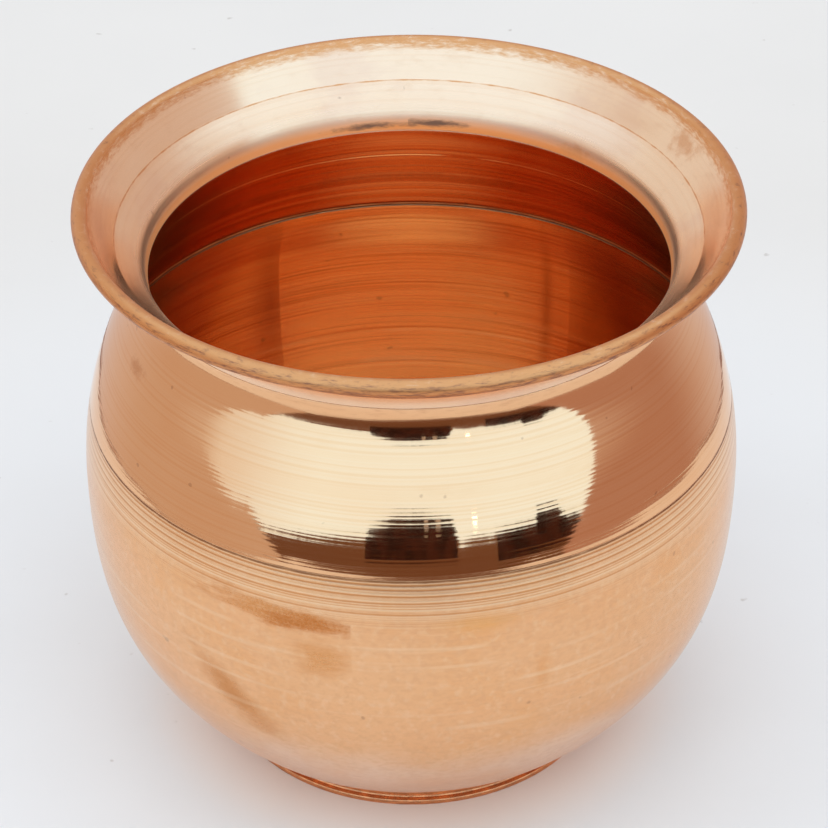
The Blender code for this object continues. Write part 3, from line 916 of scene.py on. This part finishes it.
def layFloor():
    reach = floorLook["size"]
    mesh = bpy.data.meshes.new("floor")
    corners = [(-reach, -reach, 0), (reach, -reach, 0), (reach, reach, 0), (-reach, reach, 0)]
    mesh.from_pydata(corners, [], [(0, 1, 2, 3)])
    floor = bpy.data.objects.new("floor", mesh)
    scene.collection.objects.link(floor)
    paper = bpy.data.materials.new("floorPaper")
    paper.use_nodes = True
    tree = paper.node_tree
    shader = tree.nodes["Principled BSDF"]
    shader.inputs["Roughness"].default_value = 0.9
    shader.inputs["Specular IOR Level"].default_value = 0.1
    place = addNode(tree, "ShaderNodeTexCoord").outputs["Object"]
    soilSize, soilShow, soilLeft = floorLook["soil"]
    dustSize, dustShow = floorLook["dust"]
    soiled = smooth(tree, noise(tree, place, soilSize, 5.0), 0.35, 0.75, 0.0, soilShow)
    dusty = smooth(tree, noise(tree, place, dustSize, 2.0), 0.73, 0.80, 0.0, dustShow)
    away = addNode(tree, "ShaderNodeVectorMath", {0: place}, operation="LENGTH").outputs["Value"]
    # painted light: pinker at the foot for the copper's bounce, lighter and cooler near the pot
    colour = blendColour(tree, smooth(tree, away, *floorLook["footEnds"]), floorLook["footBounce"],
                         floorLook["nearPotLight"])
    colour = blendColour(tree, smooth(tree, away, *floorLook["middleEnds"]), colour, floorLook["colour"])
    colour = blendColour(tree, soiled, colour, tuple(soilLeft * part for part in floorLook["colour"]))
    colour = blendColour(tree, dusty, colour, floorLook["dustColour"])
    parts = addNode(tree, "ShaderNodeSeparateXYZ", {0: place})
    x, y = parts.outputs["X"], parts.outputs["Y"]
    # how far a place lies inside the mirrored part, less than nothing outside it
    corners = np.array(floorLook["mirrored"])
    depth = reach
    for first, last in zip(corners, np.roll(corners, -1, axis=0)):
        along = (last - first) / np.linalg.norm(last - first)
        side = minus(tree, times(tree, y, along[0]), times(tree, x, along[1]))
        side = minus(tree, side, first[1] * along[0] - first[0] * along[1])
        depth = calc(tree, "MINIMUM", side, depth)
    # a painted shadow line along that part's edge, seen only in reflections
    mirrored = addNode(tree, "ShaderNodeLightPath").outputs["Is Glossy Ray"]
    edgeShadow = times(tree, calc(tree, "LESS_THAN", depth, 0.0), mirrored)
    tree.links.new(blendColour(tree, edgeShadow, colour, floorLook["edgeShadowColour"]), shader.inputs["Base Color"])
    gone = times(tree, calc(tree, "LESS_THAN", depth, -floorLook["edgeShadow"]), mirrored)
    clear = addNode(tree, "ShaderNodeBsdfTransparent").outputs[0]
    mixed = addNode(tree, "ShaderNodeMixShader", {0: gone, 1: shader.outputs[0], 2: clear})
    tree.links.new(mixed.outputs[0], tree.nodes["Material Output"].inputs["Surface"])
    mesh.materials.append(paper)


layFloor()
print("floor laid")

# Light: a bright open side in front of the pot, duller sides round it, dark shapes along the horizon.
# Turn is the angle from the front, to the right, and lift the angle above level, both in degrees.
sky = {
    "open": (1.00, 1.42, 1.80),
    "openEnd": 63.6,            # a wall shuts off the open side here, on the right
    "high": (1.00, 1.34, 1.68),
    "left": (0.82, 0.87, 0.90),
    "right": (0.66, 0.58, 0.55),
    "groundLeft": (0.62, 0.51, 0.44),
    "groundRight": (0.47, 0.30, 0.25),
    "groundBack": (0.68, 0.61, 0.60),
    "pavement": (0.165, 0.085, 0.052),
    "shade": (0.024, 0.010, 0.008),
    "shadeWarm": (0.055, 0.019, 0.013),
    "seen": (0.80, 0.80, 0.80),
    # where one colour gives way to the next: across and along the room from -1 to 1, then in degrees
    "sideEnds": (-0.9, 0.5),
    "groundEnds": (-0.5, 0.5),
    "backEnds": (0.2, 0.8),
    "levelEnds": (-3.0, 9.0),
    "frontEnds": (-82.0, -68.0),
    "dullEnds": (-85.0, -30.0),
    "highEnds": (32.0, 50.0),
    "pavementEnds": (-56.6, -55.8),
    "pavementSlant": (1.22, -2.1),  # slope of that edge, and the lift at which its turn is given
    "wallLean": 8.0,            # the wall's edge leans up to this lift
    "skyline": [(-80.0, 1.0), (-72.0, -0.5), (-62.0, -3.4), (-56.0, -2.4), (-49.4, -6.8), (-36.8, -4.6),
                (-23.5, -2.4), (-15.3, -1.3), (-15.1, 0.2), (-9.6, 2.8), (-5.3, 4.7), (4.3, 4.7),
                (13.8, 3.2), (14.3, -1.4), (15.2, -4.0), (20.4, -2.4), (27.3, -3.2), (28.0, -2.2),
                (34.5, -2.0), (41.6, -2.6), (42.2, -0.2), (48.7, -1.2), (51.5, -4.2), (60.6, -6.7),
                (60.9, -4.0), (63.5, -0.9), (68.5, -6.7)],
    "jagged": (0.5, 1.5),       # noise per degree along the skyline, and its height
    "skylineSoft": 0.25,
    # stretches under the skyline that are nearly black, down to a lift
    "shaded": [(-15.2, 14.6, -7.6), (27.6, 60.5, -11.0), (60.7, 69.0, -7.0)],
    # bright marks: turn, lift, half width and half height, strength
    "marks": [(4.6, 2.2, 0.7, 1.0, 0.55), (8.6, 2.2, 0.9, 1.0, 0.55), (20.7, 1.9, 0.8, 0.7, 5.0)],
    "shadedSoft": (0.3, 0.6),   # of their sides and of their lower edge
    "dapple": 0.22,
}


def lightRoom():
    world = bpy.data.worlds.new("room")
    scene.world = world
    world.use_nodes = True
    tree = world.node_tree
    backdrop = tree.nodes["Background"]
    direction = addNode(tree, "ShaderNodeTexCoord").outputs["Generated"]
    parts = addNode(tree, "ShaderNodeSeparateXYZ", {0: direction})
    x, y, z = (parts.outputs[axis] for axis in "XYZ")
    degrees = 180.0 / math.pi
    lift = times(tree, calc(tree, "ARCSINE", z), degrees)
    turn = times(tree, calc(tree, "ARCTAN2", x, times(tree, y, -1.0)), degrees)
    # sides and back: walls over pale ground
    sides = blendColour(tree, smooth(tree, x, *sky["sideEnds"]), sky["left"], sky["right"])
    ground = blendColour(tree, smooth(tree, x, *sky["groundEnds"]), sky["groundLeft"], sky["groundRight"])
    ground = blendColour(tree, smooth(tree, y, *sky["backEnds"]), ground, sky["groundBack"])
    around = blendColour(tree, smooth(tree, lift, *sky["levelEnds"]), ground, sides)
    # front: pavement and dark shapes under the open sky, which dulls to the left
    slope, level = sky["pavementSlant"]
    slant = plus(tree, turn, times(tree, minus(tree, lift, level), slope))
    ahead = blendColour(tree, smooth(tree, slant, *sky["pavementEnds"]), ground, sky["pavement"])
    spread = addNode(tree, "ShaderNodeCombineXYZ", {0: turn, 1: lift}).outputs[0]
    dappled = smooth(tree, noise(tree, spread, sky["dapple"], 3.0), 0.4, 0.62)
    shade = blendColour(tree, dappled, sky["shade"], sky["shadeWarm"])
    softSide, softLow = sky["shadedSoft"]
    for first, last, low in sky["shaded"]:
        shaded = times(tree, smooth(tree, turn, first - softSide, first + softSide),
                       smooth(tree, turn, last - softSide, last + softSide, 1.0, 0.0))
        shaded = times(tree, shaded, smooth(tree, lift, low - softLow, low + softLow))
        ahead = blendColour(tree, shaded, ahead, shade)
    bright = blendColour(tree, smooth(tree, turn, *sky["dullEnds"]), sky["left"], sky["open"])
    # the skyline runs straight from each corner to the next; a colour ramp holds it as shares of its range
    farTurn, farLift = 180.0, 45.0
    ramp = addNode(tree, "ShaderNodeValToRGB", {0: ranged(tree, turn, -farTurn, farTurn, 0.0, 1.0)})
    stops = ramp.color_ramp.elements
    for corner, top in sky["skyline"]:
        level = (top + farLift) / (2 * farLift)
        stops.new((corner + farTurn) / (2 * farTurn)).color = (level, level, level, 1.0)
    stops.remove(stops[0])
    stops.remove(stops[len(stops) - 1])
    skyline = minus(tree, times(tree, ramp.outputs[0], 2 * farLift), farLift)
    pitch, tall = sky["jagged"]
    jagged = minus(tree, lineNoise(tree, turn, pitch, 4.0, 0.65), 0.5)
    skyline = plus(tree, skyline, times(tree, jagged, tall))
    clear = smooth(tree, minus(tree, lift, skyline), -sky["skylineSoft"], sky["skylineSoft"])
    ahead = blendColour(tree, clear, ahead, bright)
    for across, high, halfWidth, halfHeight, strength in sky["marks"]:
        offSide = calc(tree, "DIVIDE", calc(tree, "ABSOLUTE", minus(tree, turn, across)), halfWidth)
        offLevel = calc(tree, "DIVIDE", calc(tree, "ABSOLUTE", minus(tree, lift, high)), halfHeight)
        inMark = smooth(tree, calc(tree, "MAXIMUM", offSide, offLevel), 0.8, 1.0, 1.0, 0.0)
        ahead = blendColour(tree, inMark, ahead, (strength, strength, strength))
    leaning = minus(tree, turn, calc(tree, "MINIMUM", lift, sky["wallLean"]))
    front = times(tree, smooth(tree, leaning, sky["openEnd"] - 1.0, sky["openEnd"] + 1.0, 1.0, 0.0),
                  smooth(tree, turn, *sky["frontEnds"]))
    colour = blendColour(tree, front, around, ahead)
    colour = blendColour(tree, smooth(tree, lift, *sky["highEnds"]), colour, sky["high"])
    # the pot mirrors all this as it is; the floor gets its light without the colours
    plain = addNode(tree, "ShaderNodeRGBToBW", {0: colour}).outputs[0]
    path = addNode(tree, "ShaderNodeLightPath")
    colour = blendColour(tree, path.outputs["Is Glossy Ray"], plain, colour)
    colour = blendColour(tree, path.outputs["Is Camera Ray"], colour, sky["seen"])
    tree.links.new(colour, backdrop.inputs["Color"])


lightRoom()
print("room lit")

# Camera: the photograph's place, turned a little about its own axis
view = {
    "place": (0.0, -0.50548, 0.41308),
    "pitch": 34.87,
    "yaw": 0.06,
    "roll": -0.56,
    "lens": 152.17,
    "sensor": 36.0,
    "nearest": 0.01,
}


def setCamera():
    pitch, yaw, roll = (math.radians(view[name]) for name in ("pitch", "yaw", "roll"))
    ahead = Vector((math.sin(yaw) * math.cos(pitch), math.cos(yaw) * math.cos(pitch), -math.sin(pitch)))
    right = Vector((math.cos(yaw), -math.sin(yaw), 0.0))
    over = right.cross(ahead)
    tiltedRight = math.cos(roll) * right + math.sin(roll) * over
    tiltedUp = -math.sin(roll) * right + math.cos(roll) * over
    camera = bpy.data.objects.new("camera", bpy.data.cameras.new("camera"))
    camera.data.sensor_width = view["sensor"]
    camera.data.lens = view["lens"]
    camera.data.clip_start = view["nearest"]
    turned = Matrix((tiltedRight, tiltedUp, -ahead)).transposed().to_4x4()
    camera.matrix_world = Matrix.Translation(view["place"]) @ turned
    scene.collection.objects.link(camera)
    scene.camera = camera


setCamera()
scene.view_settings.view_transform = "Standard"
print("camera set")
